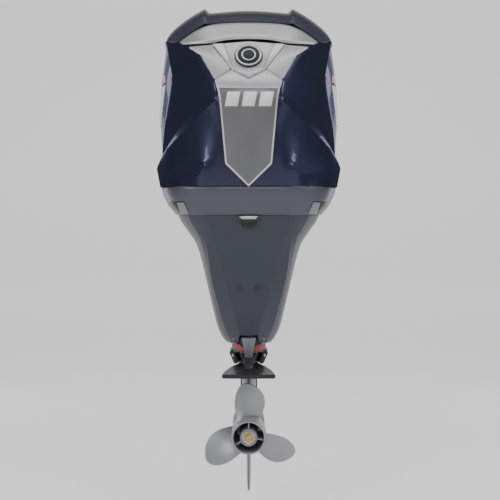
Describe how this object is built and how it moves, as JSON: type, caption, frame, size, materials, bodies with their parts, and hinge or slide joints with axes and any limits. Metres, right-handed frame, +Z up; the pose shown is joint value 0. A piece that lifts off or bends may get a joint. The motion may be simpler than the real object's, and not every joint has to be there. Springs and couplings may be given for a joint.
{
  "type": "outboard motor",
  "caption": "Large four-stroke outboard motor: cowled powerhead on a midsection with gearcase and propeller, hung from transom brackets; it tilts, steers and drives.",
  "frame": {"origin": "midway between the upper transom bolts, in the plane of the clamp brackets' forward faces", "axes": "+Y forward to the boat, +X to starboard, +Z up"},
  "size_m": [0.666, 0.836, 1.755],
  "materials": {
    "navy_gloss": "glossy metallic navy paint",
    "slate_paint": "satin slate grey paint",
    "slate_cover": "satin slate grey plastic",
    "silver_paint": "satin metallic silver paint",
    "black_paint": "satin black paint",
    "black_plastic": "matt moulded plastic",
    "bare_aluminium": "machined or cast, matt",
    "steel": "turned stainless steel",
    "cast_block": "cast, painted grey",
    "iron": "turned iron",
    "rubber": "matt moulded rubber",
    "bush_plastic": "matt acetal",
    "brass": "machined",
    "red_strip": "glossy red reflective strip",
    "anode": "bare sacrificial metal",
    "filter_paint": "glossy paint"
  },
  "bodies": {
    "transom_clamp": {"clamp_bracket_port": "slate_paint", "clamp_bracket_stbd": "slate_paint", "tilt_tube": "steel", "tilt_tube_nuts": "steel", "tilt_unit_body": "slate_paint", "tilt_pump_motor": "black_paint", "tilt_oil_reservoir": "black_plastic", "lower_pivot_pin": "steel"},
    "tilt_ram": {"tilt_ram_barrel": "slate_paint"},
    "tilt_rod": {"tilt_ram_rod": "steel", "ram_upper_pin": "steel"},
    "swivel": {"swivel_bracket": "slate_paint", "tilt_bushes": "bush_plastic", "steering_bushes": "bush_plastic"},
    "support_lever": {"tilt_support_lever": "steel"},
    "motor": {"steering_shaft": "slate_paint", "upper_mounts": "rubber", "lower_mounts": "rubber", "mount_bolts": "steel", "shaft_housing": "slate_paint", "exhaust_guide": "bare_aluminium", "apron": "slate_cover", "apron_screws": "steel", "rear_tongue": "slate_cover", "red_strips": "red_strip", "gearcase": "black_paint", "trim_tab": "anode", "water_screens": "black_plastic", "bearing_carrier": "bare_aluminium", "water_pump": "black_plastic", "cylinder_block": "cast_block", "head_cover": "black_plastic", "intake_manifold": "black_plastic", "throttle_body": "bare_aluminium", "starter_motor": "black_paint", "oil_filter": "filter_paint", "engine_control_box": "black_plastic", "flywheel_cover": "black_plastic", "lower_cowl": "slate_cover", "rigging_grommet": "rubber"},
    "throttle": {"throttle_plate": "brass"},
    "rear_latch_lever": {"rear_latch": "slate_cover"},
    "port_latch_lever": {"side_latch_port": "slate_cover"},
    "stbd_latch_lever": {"side_latch_stbd": "slate_cover"},
    "tilt_switch_rocker": {"tilt_switch": "black_plastic"},
    "cowl": {"top_cowl": "navy_gloss", "cowl_visor": "slate_cover", "crescent_trim": "silver_paint", "tie_panel": "silver_paint", "rear_badge": "black_plastic", "side_accents": "silver_paint"},
    "crank_line": {"drive_shaft": "steel", "flywheel": "iron", "pinion": "steel"},
    "forward_gear_wheel": {"forward_gear": "steel"},
    "reverse_gear_wheel": {"reverse_gear": "steel"},
    "dog": {"clutch_dog": "steel"},
    "shift_shaft": {"shift_rod": "steel"},
    "prop": {"propeller": "bare_aluminium", "prop_shaft": "steel"}
  },
  "joints": [
    {"name": "tilt", "type": "hinge", "parent": "transom_clamp", "child": "swivel", "pos_m": [0, 0.008, 0.095], "axis": [-1, 0, 0], "range_deg": [-4, 66]},
    {"name": "steer", "type": "hinge", "parent": "swivel", "child": "motor", "pos_m": [0, -0.15, 0], "axis": [0, 0, 1], "range_deg": [-35, 35]},
    {"name": "ram_swing", "type": "hinge", "parent": "transom_clamp", "child": "tilt_ram", "pos_m": [0, -0.048, -0.26], "axis": [1, 0, 0], "range_deg": [-1, 2]},
    {"name": "ram_slide", "type": "slide", "parent": "tilt_ram", "child": "tilt_rod", "axis": [0, -0.0909, 0.9959], "range_m": [-0.0075, 0.118]},
    {"name": "support_lever_swing", "type": "hinge", "parent": "swivel", "child": "support_lever", "pos_m": [0.0915, -0.056, 0.04], "axis": [1, 0, 0], "range_deg": [-20, 0]},
    {"name": "throttle_turn", "type": "hinge", "parent": "motor", "child": "throttle", "pos_m": [0.182, -0.12, 0.576], "axis": [0, 1, 0], "range_deg": [0, 80]},
    {"name": "rear_latch_pull", "type": "hinge", "parent": "motor", "child": "rear_latch_lever", "pos_m": [0, -0.552, 0.078], "axis": [-1, 0, 0], "range_deg": [0, 35]},
    {"name": "port_latch_turn", "type": "hinge", "parent": "motor", "child": "port_latch_lever", "pos_m": [-0.273, -0.366, 0.116], "axis": [0, 0, -1], "range_deg": [0, 40]},
    {"name": "stbd_latch_turn", "type": "hinge", "parent": "motor", "child": "stbd_latch_lever", "pos_m": [0.273, -0.366, 0.116], "axis": [0, 0, 1], "range_deg": [0, 40]},
    {"name": "tilt_switch_press", "type": "hinge", "parent": "motor", "child": "tilt_switch_rocker", "pos_m": [0.303, -0.257, 0.169], "axis": [0, 1, 0], "range_deg": [-8, 8]},
    {"name": "cowl_lift", "type": "slide", "parent": "motor", "child": "cowl", "axis": [0, 0, 1], "range_m": [0, 0.65]},
    {"name": "crank_spin", "type": "hinge", "parent": "motor", "child": "crank_line", "pos_m": [0, -0.305, 0], "axis": [0, 0, 1], "continuous": true},
    {"name": "forward_gear_spin", "type": "hinge", "parent": "motor", "child": "forward_gear_wheel", "pos_m": [0, -0.305, -0.662], "axis": [0, 1, 0], "continuous": true},
    {"name": "reverse_gear_spin", "type": "hinge", "parent": "motor", "child": "reverse_gear_wheel", "pos_m": [0, -0.305, -0.662], "axis": [0, 1, 0], "continuous": true},
    {"name": "prop_spin", "type": "hinge", "parent": "motor", "child": "prop", "pos_m": [0, -0.53, -0.662], "axis": [0, 1, 0], "continuous": true},
    {"name": "dog_slide", "type": "slide", "parent": "prop", "child": "dog", "axis": [0, 1, 0], "range_m": [-0.0059, 0.0059]},
    {"name": "shift_turn", "type": "hinge", "parent": "motor", "child": "shift_shaft", "pos_m": [0, -0.236, -0.5], "axis": [0, 0, 1], "range_deg": [-27, 27]}
  ],
  "couplings": [
    {"joint": "ram_swing", "follows": "tilt", "ratio": 0.01},
    {"joint": "ram_slide", "follows": "tilt", "m_per_rad": 0.10189},
    {"joint": "forward_gear_spin", "follows": "crank_spin", "ratio": 0.54167},
    {"joint": "reverse_gear_spin", "follows": "crank_spin", "ratio": -0.54167},
    {"joint": "shift_turn", "follows": "dog_slide", "rad_per_m": 74.07}
  ]
}
